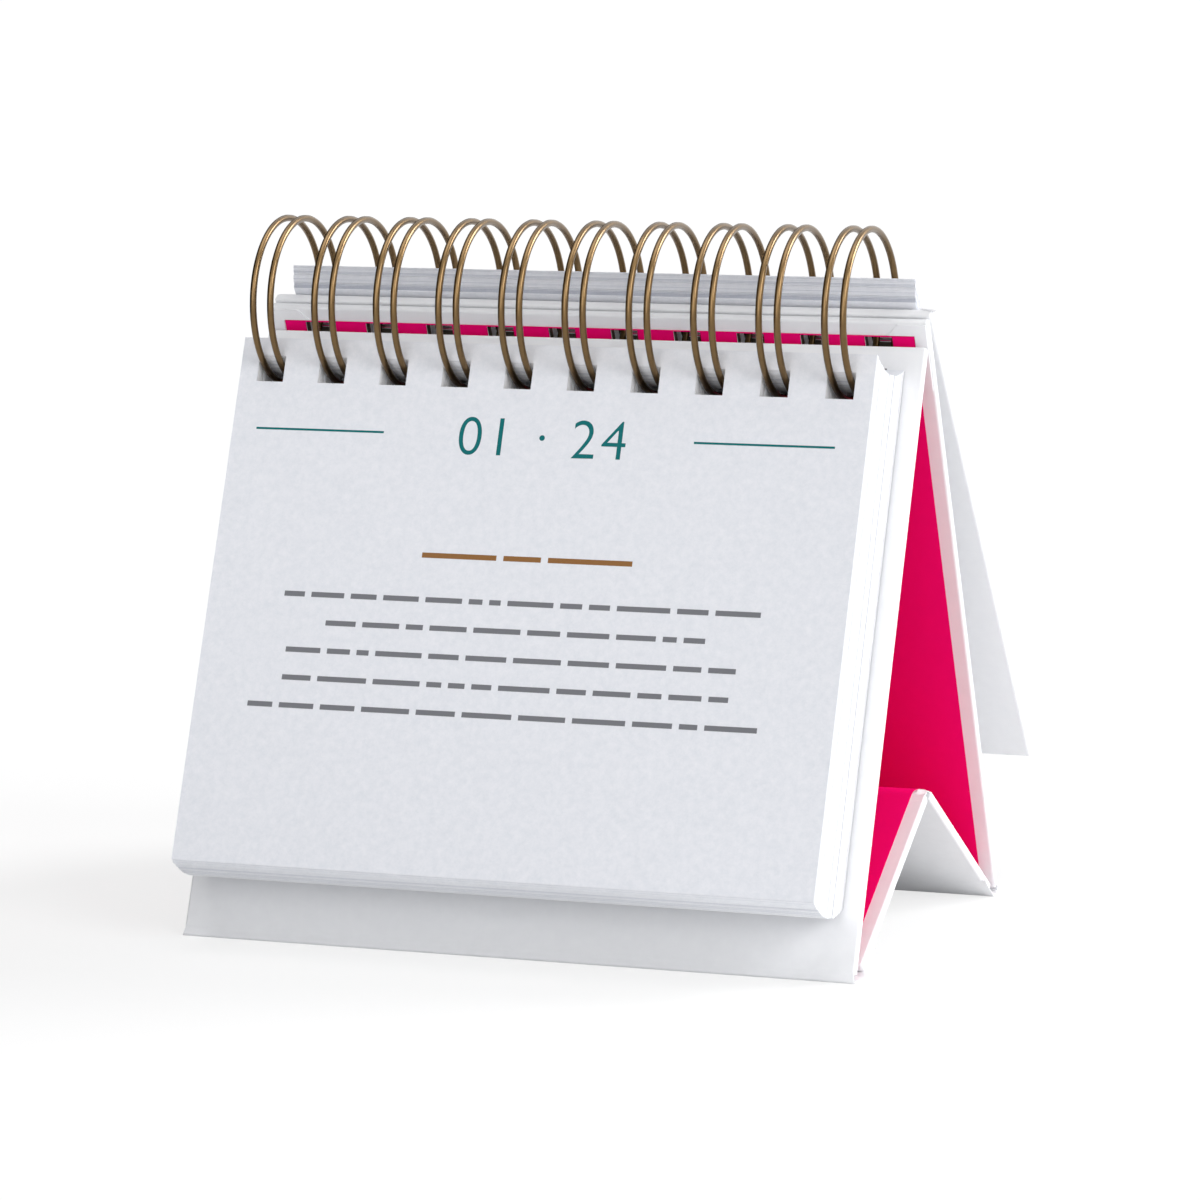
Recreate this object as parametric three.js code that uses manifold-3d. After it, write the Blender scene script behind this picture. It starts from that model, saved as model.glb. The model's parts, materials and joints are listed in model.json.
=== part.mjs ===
// A perpetual desk calendar: a hard-case easel of card-covered boards, folded into a tent,
// with a twin-loop wire binding through its two head edges that carries the leaves and the cover.
// Millimetres, X along the width, Y towards the back, Z up, standing on Z = 0.
import * as THREE from 'three';
import { mergeVertices } from 'three/addons/utils/BufferGeometryUtils.js';
import Module from 'manifold-3d';

const wasm = await Module();
wasm.setup();

// Boards and their covering
const boardThickness = 2.2;
const boardOverhang = 3.5;
const paper = 0.2;
const glue = 0.06;
const linerPaper = 0.16;
const turnIn = 12;
const linerMargin = 2.8;

// The tent: two leaning boards, with a folded gusset between their feet
const frontLean = 21.2;
const rearLean = 21.1;
const frontLength = 120;
const headGap = 0.4;
const footRise = 2;
const footPaper = 0.4;
const footReach = 1.2;
const gutter = 0.5;
const gutterHeight = 2.5;
const gutterStart = 1.5;
const peakHeight = 26.1;
const peakGap = 0.8;
const peakOffset = 0.15;
const peakTail = 4.4;
const headPivot = 0.3;

// Leaves and the flipped cover
const pageWidth = 127;
const pageHeight = 101.6;
const padThickness = 16.85;
const padGap = 0.3;
const leafThickness = 0.3;
const leafGap = 0.12;
const padBundles = 6;
const turnedThickness = 2.7;
const turnedBundles = 3;
const pageMargin = 3.5;
const coverLength = 114.9;
const coverSpread = 14;
const coverGap = 0.3;
const boardMargin = 3;
const boardWidth = pageWidth + 2 * boardOverhang;

// The wire and the holes that it runs in
const pitch = 12.7;
const wire = 1.3;
const loopWidth = 3.57;
const wireBend = 1.1;
const ringSlack = 2.05;
const ringAboveBoard = 2.97;
const ringInFront = 10.32;
const hang = 0.6;
const holeWidth = 5.5;
const holeHeight = 5.1;
const holeMargin = 2.5;
const slotClearance = 0.5;
const rearHeadroom = 7.87;
const frontSlotUp = 1.3;
const seamAngle = 43.8;
const seamGap = 0.55;
const loops = Math.floor((pageWidth - holeWidth - 2 * holeMargin) / pitch) + 1;

// Steps of the wire's rounds and of the arc that the leaves follow
const stepsPerTurn = 24;
const wireSides = 6;
const bendSteps = 3;
const tipSteps = 6;
const arcStep = 1;
const fittingPasses = 12;

const rad = THREE.MathUtils.degToRad;
const overshoot = 5;
const weld = 1e-5;

function material(colour, roughness, metalness = 0) {
  return new THREE.MeshStandardMaterial({ color: colour, roughness, metalness });
}

const greyboard = material(0xb9b4aa, 0.9);
const coverPaper = material(0xf4f4f3, 0.55);
const pinkLiner = material(0xe0055c, 0.75);
const pagePaper = material(0xe9ebf0, 0.85);
const bronzeWire = material(0x8d7349, 0.35, 1);

// Solids: a closed geometry becomes a solid that can be joined and cut, and comes back as a mesh

function solid(geometry) {
  const bare = geometry.index ? geometry.toNonIndexed() : geometry;
  bare.deleteAttribute('normal');
  bare.deleteAttribute('uv');
  const merged = mergeVertices(bare, weld);
  return new wasm.Manifold(new wasm.Mesh({
    numProp: 3,
    vertProperties: new Float32Array(merged.attributes.position.array),
    triVerts: new Uint32Array(merged.index.array),
  }));
}

function geometryOf(body) {
  const { vertProperties, triVerts } = body.getMesh();
  const geometry = new THREE.BufferGeometry();
  geometry.setAttribute('position', new THREE.BufferAttribute(new Float32Array(vertProperties), 3));
  geometry.setIndex(new THREE.BufferAttribute(new Uint32Array(triVerts), 1));
  geometry.computeVertexNormals();
  return geometry;
}

function mesh(name, body, look) {
  const piece = new THREE.Mesh(geometryOf(body), look);
  piece.name = name;
  return piece;
}

// A box that is centred across the width, between two depths (Y) and two heights (Z)
function block(width, depths, heights) {
  const [y0, y1] = [Math.min(...depths), Math.max(...depths)];
  const [z0, z1] = heights;
  const geometry = new THREE.BoxGeometry(width, y1 - y0, z1 - z0);
  geometry.translate(0, (y0 + y1) / 2, (z0 + z1) / 2);
  return solid(geometry);
}

// A side profile of [y, z] points, drawn out across the width and centred there
function drawnOut(points, width) {
  const shape = new THREE.Shape(points.map(([y, z]) => new THREE.Vector2(y, z)));
  const geometry = new THREE.ExtrudeGeometry(shape, { depth: width, bevelEnabled: false });
  geometry.translate(0, 0, -width / 2);
  const turn = new THREE.Matrix4().makeBasis(
    new THREE.Vector3(0, 1, 0), new THREE.Vector3(0, 0, 1), new THREE.Vector3(1, 0, 0));
  geometry.applyMatrix4(turn);
  return solid(geometry);
}

// The same cutter at each of the loops
function atEachLoop(cutter) {
  let row = null;
  for (let k = 0; k < loops; k += 1) {
    const copy = cutter.translate([(k - (loops - 1) / 2) * pitch, 0, 0]);
    row = row ? row.add(copy) : copy;
  }
  return row;
}

// Places in the side plane, as vectors of (y, z)

const side = (y, z) => new THREE.Vector2(y, z);
const upBoard = (tilt) => side(-Math.sin(rad(tilt)), Math.cos(rad(tilt)));
const outBoard = (tilt) => side(Math.cos(rad(tilt)), Math.sin(rad(tilt)));
const along = (point, direction, length) => point.clone().addScaledVector(direction, length);
const atHeight = (point, direction, z) => along(point, direction, (z - point.y) / direction.y);

// The front board's face starts at the origin and leans back: tilt is its turn about X
const frontTilt = -frontLean;
const frontUp = upBoard(frontTilt);
const frontBack = outBoard(frontTilt);
const ringCentre = along(along(side(0, 0), frontUp, frontLength + ringAboveBoard), frontBack, -ringInFront);
const headCorner = along(along(side(0, 0), frontUp, frontLength), frontBack, boardThickness);

// The rear board's inner face just clears the front board's head
const rearUp = upBoard(rearLean);
const rearOut = outBoard(rearLean);
const rearInner = along(headCorner, rearOut, headGap);
const rearFoot = atHeight(along(rearInner, rearOut, boardThickness), rearUp, 0);

// Distances from the ring's centre, as depth across a board and height along it
const across = (point, out) => point.clone().sub(ringCentre).dot(out);
const frontFace = ringInFront;
const rearFace = across(rearInner, rearOut) + boardThickness;

// The cover leans out further than the rear board, and lies on that board's head
const coverTilt = rearLean + coverSpread;

// Where the wire's centreline crosses a plane at a given depth from the ring's centre
const crossing = (radius, depth) => -Math.sqrt(radius * radius - depth * depth);

// The ring's size follows what it holds, and the rear board's head follows the ring
function rearHeadAt(radius) {
  const depth = rearFace - boardThickness / 2;
  const head = crossing(radius, depth) + rearHeadroom;
  return along(along(ringCentre, rearUp, head), rearOut, rearFace);
}

function outermostLeaf(radius) {
  const coverFront = across(rearHeadAt(radius), outBoard(coverTilt)) + coverGap;
  return coverFront + boardThickness + padGap + turnedThickness;
}

let ringRadius = frontFace + boardThickness + ringSlack;
for (let pass = 0; pass < fittingPasses; pass += 1) {
  ringRadius = Math.max(outermostLeaf(ringRadius), frontFace + boardThickness) + ringSlack;
}

const rearHead = rearHeadAt(ringRadius);
const coverFront = across(rearHead, outBoard(coverTilt)) + coverGap;
const coverBack = coverFront + boardThickness;

// The top and the bottom of the wire where it passes through a plane, or through a board
const wireTop = (depth) => {
  const centre = crossing(ringRadius, depth);
  return centre - (wire / 2) * (ringRadius / centre);
};
const wireBottom = (depth) => 2 * crossing(ringRadius, depth) - wireTop(depth);
const throughBoard = (nearest) => ({
  top: Math.max(wireTop(nearest), wireTop(nearest + boardThickness)),
  bottom: Math.min(wireBottom(nearest), wireBottom(nearest + boardThickness)),
});

// A sheet hangs with the top of its hole on the wire, at a height that follows the ring's arc
const holeTop = (depth) => wireTop(depth) + hang;

// Boards: a greyboard core in a tray of cover paper, its edges turned in, with a liner on top.
// Depth is counted from the outer face; inward is the sign of the way in.

function board(name, { outer, inward, low, high, openLow = false, openHigh = false, slot = null }) {
  const depth = (from, to) => [outer + inward * from, outer + inward * to];
  const coreStart = paper + glue;
  const lipEnd = boardThickness - linerPaper - glue;
  const coreEnd = lipEnd - paper - glue;
  const inset = (distance) => [
    low + (openLow ? 0 : distance),
    high - (openHigh ? 0 : distance),
  ];
  const past = (distance) => [
    openLow ? low - overshoot : low + distance,
    openHigh ? high + overshoot : high - distance,
  ];

  let core = block(boardWidth - 2 * coreStart, depth(coreStart, coreEnd), inset(coreStart));
  let wrap = block(boardWidth, depth(0, lipEnd), [low, high]);
  wrap = wrap.subtract(block(boardWidth - 2 * paper, depth(paper, coreEnd + glue), past(paper)));
  wrap = wrap.subtract(block(boardWidth - 2 * turnIn, depth(coreEnd, lipEnd + overshoot), past(turnIn)));
  let liner = block(boardWidth - 2 * linerMargin, depth(lipEnd + glue, boardThickness), inset(linerMargin));

  if (slot) {
    const punch = atEachLoop(block(holeWidth, depth(-overshoot, boardThickness + overshoot), slot));
    core = core.subtract(punch);
    wrap = wrap.subtract(punch);
    liner = liner.subtract(punch);
  }
  return [
    mesh(`${name}_greyboard`, core, greyboard),
    mesh(`${name}_wrap`, wrap, coverPaper),
    mesh(`${name}_liner`, liner, pinkLiner),
  ];
}

// Leaves between two depths from the ring's centre, with their heads and holes on the ring's arc

function leaves(name, from, to) {
  const steps = Math.max(1, Math.round((to - from) / arcStep));
  const profile = (start, end, upper, lower) => {
    const top = [];
    const bottom = [];
    for (let k = 0; k <= steps; k += 1) {
      const depth = THREE.MathUtils.lerp(start, end, k / steps);
      const edge = holeTop(THREE.MathUtils.clamp(depth, from, to));
      top.push([depth, edge + upper]);
      bottom.unshift([depth, edge + lower]);
    }
    return [...bottom, ...top];
  };
  const sheet = drawnOut(profile(from, to, pageMargin, pageMargin - pageHeight), pageWidth);
  const hole = drawnOut(profile(from - leafGap, to + leafGap, 0, -holeHeight), holeWidth);
  return mesh(name, sheet.subtract(atEachLoop(hole)), pagePaper);
}

function bundles(name, from, to, count) {
  const thickness = (to - from - (count - 1) * leafGap) / count;
  const pieces = [];
  for (let k = 0; k < count; k += 1) {
    const start = from + k * (thickness + leafGap);
    pieces.push(leaves(`${name}_${k + 1}`, start, start + thickness));
  }
  return pieces;
}

// The wire: one unbroken tube. It is laid out flat, as bars and hairpins, and rolled onto the ring.

function wireLayout() {
  const points = [];
  const half = loopWidth / 2;
  const seam = (wire + seamGap) / ringRadius;
  const turn = ringRadius * (2 * Math.PI - seam);
  const straight = turn - half - wireBend;
  const arc = (x, s, radius, from, to, steps) => {
    for (let k = 1; k <= steps; k += 1) {
      const angle = THREE.MathUtils.lerp(from, to, k / steps);
      points.push([x + radius * Math.cos(angle), s + radius * Math.sin(angle)]);
    }
  };
  const strandSteps = Math.round(stepsPerTurn * straight / (2 * Math.PI * ringRadius));
  const strand = (x, start, end) => {
    for (let k = 1; k < strandSteps; k += 1) {
      points.push([x, THREE.MathUtils.lerp(start, end, k / strandSteps)]);
    }
  };
  const first = -(loops - 1) / 2 * pitch;
  points.push([first - half - wireBend - wire, 0]);
  for (let k = 0; k < loops; k += 1) {
    const x = first + k * pitch;
    const top = wireBend + straight;
    points.push([x - half - wireBend, 0]);
    arc(x - half - wireBend, wireBend, wireBend, -Math.PI / 2, 0, bendSteps);
    strand(x - half, wireBend, top);
    points.push([x - half, top]);
    arc(x, top, half, Math.PI, 0, tipSteps);
    strand(x + half, top, wireBend);
    points.push([x + half, wireBend]);
    arc(x + half + wireBend, wireBend, wireBend, Math.PI, 1.5 * Math.PI, bendSteps);
  }
  points.push([-first + half + wireBend + wire, 0]);
  return points;
}

// Rolled clockwise from the seam, which is tucked between the two boards' heads
function wirePath() {
  return wireLayout().map(([x, s]) => {
    const angle = -rad(seamAngle) - s / ringRadius;
    return new THREE.Vector3(x, ringRadius * Math.cos(angle), ringRadius * Math.sin(angle));
  });
}

// A tube of flat-sided rings along a path, turned from point to point without twist
function tube(path, radius, sides) {
  const positions = [];
  const index = [];
  const tangents = path.map((point, k) => {
    const before = path[Math.max(k - 1, 0)];
    const after = path[Math.min(k + 1, path.length - 1)];
    return after.clone().sub(before).normalize();
  });
  const normal = new THREE.Vector3(0, 0, 1);
  normal.addScaledVector(tangents[0], -normal.dot(tangents[0])).normalize();
  path.forEach((point, k) => {
    if (k > 0) {
      const turn = new THREE.Quaternion().setFromUnitVectors(tangents[k - 1], tangents[k]);
      normal.applyQuaternion(turn);
    }
    const across = new THREE.Vector3().crossVectors(tangents[k], normal);
    for (let j = 0; j < sides; j += 1) {
      const angle = 2 * Math.PI * j / sides;
      const rim = point.clone();
      rim.addScaledVector(normal, radius * Math.cos(angle));
      rim.addScaledVector(across, radius * Math.sin(angle));
      positions.push(...rim.toArray());
    }
  });
  for (let k = 0; k + 1 < path.length; k += 1) {
    for (let j = 0; j < sides; j += 1) {
      const a = k * sides + j;
      const b = k * sides + (j + 1) % sides;
      index.push(a, b, a + sides, b, b + sides, a + sides);
    }
  }
  const last = (path.length - 1) * sides;
  for (let j = 1; j + 1 < sides; j += 1) {
    index.push(0, j + 1, j);
    index.push(last, last + j, last + j + 1);
  }
  const geometry = new THREE.BufferGeometry();
  geometry.setAttribute('position', new THREE.Float32BufferAttribute(positions, 3));
  geometry.setIndex(index);
  return geometry;
}

// The least gap between parts of the wire that aren't next to each other along it
function leastGap(path) {
  const travelled = [0];
  for (let k = 1; k < path.length; k += 1) {
    travelled.push(travelled[k - 1] + path[k].distanceTo(path[k - 1]));
  }
  let least = Infinity;
  for (let a = 0; a < path.length; a += 1) {
    for (let b = a + 1; b < path.length; b += 1) {
      const apart = travelled[b] - travelled[a];
      if (apart > Math.PI * loopWidth) {
        least = Math.min(least, path[a].distanceTo(path[b]) - wire);
      }
    }
  }
  return least;
}

// Groups: a board or a stack that passes through the ring is set out from the ring's centre

function groupAt(point, tilt, pieces) {
  const group = new THREE.Group();
  group.position.set(0, point.x, point.y);
  group.rotation.x = rad(tilt);
  group.add(...pieces);
  return group;
}

const frontFoot = -(frontLength + ringAboveBoard);
const rearFootHeight = rearFoot.clone().sub(ringCentre).dot(rearUp);
const rearTop = rearHead.clone().sub(ringCentre).dot(rearUp);
const frontWire = throughBoard(frontFace);
const rearWire = throughBoard(rearFace - boardThickness);
const coverWire = throughBoard(coverFront);

const frontBoard = board('front_board', {
  outer: frontFace,
  inward: 1,
  low: frontFoot + footRise,
  high: -ringAboveBoard,
  openLow: true,
  slot: [frontWire.bottom - slotClearance, frontWire.top + frontSlotUp],
});
const rearBoard = board('rear_board', {
  outer: rearFace,
  inward: -1,
  low: rearFootHeight + footRise,
  high: rearTop,
  openLow: true,
  slot: [rearWire.bottom - slotClearance, rearTop - boardMargin],
});

const coverSlotTop = coverWire.top + slotClearance;
const coverTop = coverSlotTop + boardMargin;
const coverBoard = board('front_cover', {
  outer: coverFront,
  inward: 1,
  low: coverTop - coverLength,
  high: coverTop,
  slot: [coverSlotTop - holeHeight, coverSlotTop],
});

const padBack = frontFace - padGap;
const padFront = padBack - padThickness;
const todayLeaf = leaves('today_leaf', padFront, padFront + leafThickness);
const padLeaves = bundles('page_bundle', padFront + leafThickness + leafGap, padBack, padBundles);
const turnedStart = coverBack + padGap;
const turnedLeaves = bundles('turned_bundle', turnedStart, turnedStart + turnedThickness, turnedBundles);

// Foot folds: the cover paper runs round each foot, from the board's face to under the gusset

const frontGutter = atHeight(along(side(0, 0), frontBack, boardThickness + gutter), frontUp, gutterHeight);
const rearGutter = atHeight(along(rearInner, rearOut, -gutter), rearUp, gutterHeight);

function footFold(name, foot, up, out, gutterAxis, sign) {
  const top = along(foot, up, footRise - leafGap);
  const innerTop = along(top, out, -sign * footPaper);
  const innerFoot = atHeight(innerTop, up, footPaper);
  const end = gutterAxis.x + sign * (boardThickness + footReach);
  const outline = [
    [foot.x, foot.y],
    [end, foot.y],
    [end, foot.y + footPaper],
    [innerFoot.x, innerFoot.y],
    [innerTop.x, innerTop.y],
    [top.x, top.y],
  ];
  return mesh(name, drawnOut(sign > 0 ? outline : outline.reverse(), boardWidth), coverPaper);
}

const frontFold = footFold('front_foot_fold', side(0, 0), frontUp, frontBack.clone().negate(), frontGutter, 1);
const rearFold = footFold('rear_foot_fold', rearFoot, rearUp, rearOut.clone().negate(), rearGutter, -1);

// The gusset: two boards from the feet up to a peak, folded along their undersides

const peak = side((frontGutter.x + rearGutter.x) / 2, peakHeight);
const gussetSpan = frontGutter.distanceTo(peak);
const gussetOffset = gutter + boardThickness + peakOffset;
const gussetSlope = (gutterAxis) => {
  const rise = Math.atan2(peak.y - gutterAxis.y, Math.abs(peak.x - gutterAxis.x));
  return THREE.MathUtils.radToDeg(rise + Math.asin(gussetOffset / gussetSpan));
};
const gussetEnd = Math.sqrt(gussetSpan ** 2 - gussetOffset ** 2) - peakGap;
const frontSlope = gussetSlope(frontGutter);
const rearSlope = gussetSlope(rearGutter);

const gussetFront = board('gusset_front', {
  outer: gutter + boardThickness,
  inward: -1,
  low: gutterStart,
  high: gussetEnd,
  openLow: true,
  openHigh: true,
});
const gussetRear = board('gusset_rear', {
  outer: -(gutter + boardThickness),
  inward: 1,
  low: gutterStart,
  high: gussetEnd,
  openLow: true,
  openHigh: true,
});

// The liner bridges the peak, fixed to the front gusset board
function peakFold() {
  const tilt = frontSlope - 90;
  const up = upBoard(tilt);
  const out = outBoard(tilt);
  const corner = along(along(frontGutter, up, gussetEnd), out, gutter);
  const seat = along(corner, out, -leafGap);
  const tail = along(seat, up, -peakTail);
  const lift = along(seat, out, -linerPaper);
  const far = 2 * peak.x - seat.x;
  const outline = [
    [tail.x, tail.y],
    [seat.x, seat.y],
    [far, seat.y],
    [far, seat.y + linerPaper],
    [lift.x, seat.y + linerPaper],
    [tail.x - out.x * linerPaper, tail.y - out.y * linerPaper],
  ];
  return mesh('peak_fold', drawnOut(outline, boardWidth - 2 * linerMargin), pinkLiner);
}

const path = wirePath();
console.log(`least gap of the wire to itself: ${leastGap(path).toFixed(2)} mm`);
const loopWire = mesh('twin_loop_wire', solid(tube(path, wire / 2, wireSides)), bronzeWire);

const calendar = new THREE.Group();
const upright = side(0, 0);
calendar.add(
  groupAt(ringCentre, frontTilt, frontBoard),
  groupAt(ringCentre, rearLean, rearBoard),
  groupAt(ringCentre, coverTilt, coverBoard),
  groupAt(ringCentre, frontTilt, [todayLeaf, ...padLeaves]),
  groupAt(ringCentre, coverTilt, turnedLeaves),
  groupAt(ringCentre, 0, [loopWire]),
  groupAt(frontGutter, frontSlope - 90, gussetFront),
  groupAt(rearGutter, 90 - rearSlope, gussetRear),
  groupAt(upright, 0, [frontFold, rearFold, peakFold()]),
);

// The origin is on the floor, under the middle of the whole calendar
const part = new THREE.Group();
part.add(calendar);
const bounds = new THREE.Box3().setFromObject(part, true);
calendar.position.y = -(bounds.min.y + bounds.max.y) / 2;

// The lines that its pieces turn about, all along X, as [y, z] in the part's own frame
const axisAt = (point) => [point.x + calendar.position.y, point.y];
part.userData.axes = {
  ring: axisAt(ringCentre),
  head: axisAt(along(headCorner, rearOut, headPivot)),
  frontGutter: axisAt(frontGutter),
  rearGutter: axisAt(rearGutter),
};

export default part;
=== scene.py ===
import json
import math
import random
import bmesh
import bpy
from mathutils import Matrix, Vector, noise


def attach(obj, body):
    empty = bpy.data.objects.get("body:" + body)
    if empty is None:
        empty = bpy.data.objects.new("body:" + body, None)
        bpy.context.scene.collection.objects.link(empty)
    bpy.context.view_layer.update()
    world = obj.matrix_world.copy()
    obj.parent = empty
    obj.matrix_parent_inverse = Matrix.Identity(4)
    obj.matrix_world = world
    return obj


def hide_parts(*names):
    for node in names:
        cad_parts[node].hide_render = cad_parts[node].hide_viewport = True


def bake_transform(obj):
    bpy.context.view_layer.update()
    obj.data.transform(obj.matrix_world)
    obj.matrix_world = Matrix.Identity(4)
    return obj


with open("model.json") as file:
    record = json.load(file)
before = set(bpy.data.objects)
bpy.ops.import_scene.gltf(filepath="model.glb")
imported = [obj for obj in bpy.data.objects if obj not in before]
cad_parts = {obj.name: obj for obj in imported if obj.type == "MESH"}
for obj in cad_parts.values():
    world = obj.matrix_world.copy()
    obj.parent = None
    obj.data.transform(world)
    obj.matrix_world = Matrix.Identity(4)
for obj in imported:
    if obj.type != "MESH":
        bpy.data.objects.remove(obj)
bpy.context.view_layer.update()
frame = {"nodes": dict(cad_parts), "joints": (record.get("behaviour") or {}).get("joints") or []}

# Greyboard cores
# The stiff middle of every board: recycled pulp board, guillotined to size. It shows only at the
# cut walls of the punched slots and at the boards' ends inside the folds. Its grey-brown is darkened
# past the board's own colour, as painted shade for the dark insides of the slots.
GREYBOARD_WITH_SLOT_SHADE_HEX = "#575147"
GREYBOARD_FLECK_WITH_SLOT_SHADE_HEX = "#3d3832"
PULP_FLECK = 0.0009


def linear(hex_colour):
    """An sRGB hex colour as linear red, green, blue and alpha."""
    parts = [int(hex_colour[k:k + 2], 16) / 255 for k in (1, 3, 5)]
    return [p / 12.92 if p <= 0.04045 else ((p + 0.055) / 1.055) ** 2.4 for p in parts] + [1.0]


def new_material(name):
    """An empty node material."""
    made = bpy.data.materials.new(name)
    made.use_nodes = True
    made.node_tree.nodes.clear()
    return made, made.node_tree


def add(tree, kind, sockets=None, **settings):
    """Adds a node with its settings; a socket takes a value, or another node's output as a link."""
    made = tree.nodes.new(kind)
    for setting, value in settings.items():
        setattr(made, setting, value)
    for socket, value in (sockets or {}).items():
        if isinstance(value, bpy.types.NodeSocket):
            tree.links.new(value, made.inputs[socket])
        else:
            made.inputs[socket].default_value = value
    return made


# Grey-brown pulp board, cut: matt, with darker flecks of old print and a coarse felted surface; both
# its tones are darkened, as painted shade for the insides of the slots
greyboard_with_slot_shade, tree = new_material("greyboard_cut_with_painted_slot_shade")
place = add(tree, "ShaderNodeTexCoord")
flecks = add(tree, "ShaderNodeTexNoise", {
    "Vector": place.outputs["Object"], "Scale": 1 / PULP_FLECK, "Detail": 4.0, "Roughness": 0.7})
tone = add(tree, "ShaderNodeMix", {
    0: flecks.outputs["Fac"], 6: linear(GREYBOARD_FLECK_WITH_SLOT_SHADE_HEX), 7: linear(GREYBOARD_WITH_SLOT_SHADE_HEX)}, data_type="RGBA")
felt = add(tree, "ShaderNodeBump", {
    "Strength": 0.5, "Distance": 0.0001, "Height": flecks.outputs["Fac"]})
skin = add(tree, "ShaderNodeBsdfPrincipled", {
    "Base Color": tone.outputs[2], "Roughness": 0.95, "Normal": felt.outputs["Normal"]})
skin.inputs["Specular IOR Level"].default_value = 0.2
add(tree, "ShaderNodeOutputMaterial", {"Surface": skin.outputs["BSDF"]})


def dress(node_name, look):
    """Gives a CAD node's mesh one material."""
    mesh = frame["nodes"][node_name].data
    mesh.materials.clear()
    mesh.materials.append(look)


for board in ("front_board", "rear_board", "gusset_front", "gusset_rear", "front_cover"):
    dress(board + "_greyboard", greyboard_with_slot_shade)

# Case paper
# Each board is wrapped in white coated paper, glued down and turned in over its edges. The paper is one
# sheet for the whole case, so each board's shell is closed at both ends and the folds run on from it.
JOINT_PLACES = {joint["name"]: Vector(joint["pos_m"]) for joint in frame["joints"]}
RING = JOINT_PLACES["front_cover_turn"]
FRONT_GUTTER = JOINT_PLACES["gusset_front_fold"]
REAR_GUTTER = JOINT_PLACES["gusset_rear_fold"]
ORIGIN = Vector((0, 0, 0))
FRONT_TILT = math.radians(-21.2)
REAR_TILT = math.radians(21.1)
COVER_TILT = math.radians(35.1)
GUSSET_TILT = math.radians(57.0733)
CASE_PAPER = 0.0002
TURN_IN = 0.012
EDGE_ROUND = 0.0005
END_CAP = 0.00022
CUT_PAST = 0.002
SMOOTH_ANGLE = math.radians(35)
FLAP = 0.0006
# The corners of the flaps at a board's head, in mm in from its side and down from its head
HEAD_FLAP = ((5.8, 0.45), (0.35, 0.45), (0.35, 2.64), (7.95, 2.64))
SIDE_FLAP = ((2.65, 2.64), (0.35, 2.64), (0.35, 14.0), (2.65, 14.0))
LOOPS = 10
PITCH = 0.0127
HOLE_WIDTH = 0.0055
CASE_PAPER_HEX = "#eff0f2"
CASE_PAPER_SHADE_HEX = "#e8e9ec"
PAPER_FORMATION = 0.0022

# Matt-coated white cover paper over board: close to neutral, faintly cloudy, with a soft low sheen
coated_paper, tree = new_material("matt_coated_white_cover_paper")
place = add(tree, "ShaderNodeTexCoord")
cloud = add(tree, "ShaderNodeTexNoise", {
    "Vector": place.outputs["Object"], "Scale": 1 / PAPER_FORMATION, "Detail": 3.0, "Roughness": 0.6})
tone = add(tree, "ShaderNodeMix", {
    0: cloud.outputs["Fac"], 6: linear(CASE_PAPER_SHADE_HEX), 7: linear(CASE_PAPER_HEX)}, data_type="RGBA")
swell = add(tree, "ShaderNodeTexNoise", {
    "Vector": place.outputs["Object"], "Scale": 160.0, "Detail": 1.0, "Roughness": 0.5})
grain = add(tree, "ShaderNodeTexNoise", {
    "Vector": place.outputs["Object"], "Scale": 2600.0, "Detail": 2.0, "Roughness": 0.5})
tooth = add(tree, "ShaderNodeBump", {
    "Strength": 0.12, "Distance": 0.00005, "Height": grain.outputs["Fac"]})
glue = add(tree, "ShaderNodeBump", {
    "Strength": 0.25, "Distance": 0.0002, "Height": swell.outputs["Fac"], "Normal": tooth.outputs["Normal"]})
skin = add(tree, "ShaderNodeBsdfPrincipled", {
    "Base Color": tone.outputs[2], "Roughness": 0.5, "Normal": glue.outputs["Normal"]})
skin.inputs["Specular IOR Level"].default_value = 0.3
add(tree, "ShaderNodeOutputMaterial", {"Surface": skin.outputs["BSDF"]})


def flat_corners(node_name, pivot, tilt):
    """A leaning node's corners in its upright frame: X across, Y through, Z up, from its pivot."""
    upright = Matrix.Rotation(-tilt, 4, "X") @ Matrix.Translation(-pivot)
    return [upright @ v.co for v in frame["nodes"][node_name].data.vertices]


def span(points):
    """The lowest and highest corner of a set of points."""
    return (Vector([min(p[k] for p in points) for k in range(3)]),
            Vector([max(p[k] for p in points) for k in range(3)]))


def only(piece):
    """Selects one piece and nothing else."""
    bpy.ops.object.select_all(action="DESELECT")
    piece.select_set(True)
    bpy.context.view_layer.objects.active = piece


def join(pieces, name):
    """Joins pieces into the first one and names it."""
    only(pieces[0])
    for piece in pieces:
        piece.select_set(True)
    if len(pieces) > 1:
        bpy.ops.object.join()
    pieces[0].name = name
    return pieces[0]


def box(name, low, high):
    """A box primitive from one corner to the other, with its place in its mesh."""
    bpy.ops.object.select_all(action="DESELECT")
    bpy.ops.mesh.primitive_cube_add(size=1, location=(low + high) / 2)
    piece = bpy.context.active_object
    piece.name = name
    piece.scale = high - low
    bpy.ops.object.transform_apply(location=True, rotation=True, scale=True)
    return piece


def pick(piece, kind, test):
    """In edit mode, selects the faces, edges or vertices that pass a test."""
    bpy.ops.mesh.select_mode(type=kind)
    bpy.ops.mesh.select_all(action="DESELECT")
    cage = bmesh.from_edit_mesh(piece.data)
    items = {"FACE": cage.faces, "EDGE": cage.edges, "VERT": cage.verts}[kind]
    for item in [item for item in items if test(item)]:
        item.select_set(True)
    bmesh.update_edit_mesh(piece.data)


def modify(piece, kind, **settings):
    """Adds a modifier and applies it."""
    only(piece)
    made = piece.modifiers.new(kind.lower(), kind)
    for setting, value in settings.items():
        setattr(made, setting, value)
    bpy.ops.object.modifier_apply(modifier=made.name)


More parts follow.
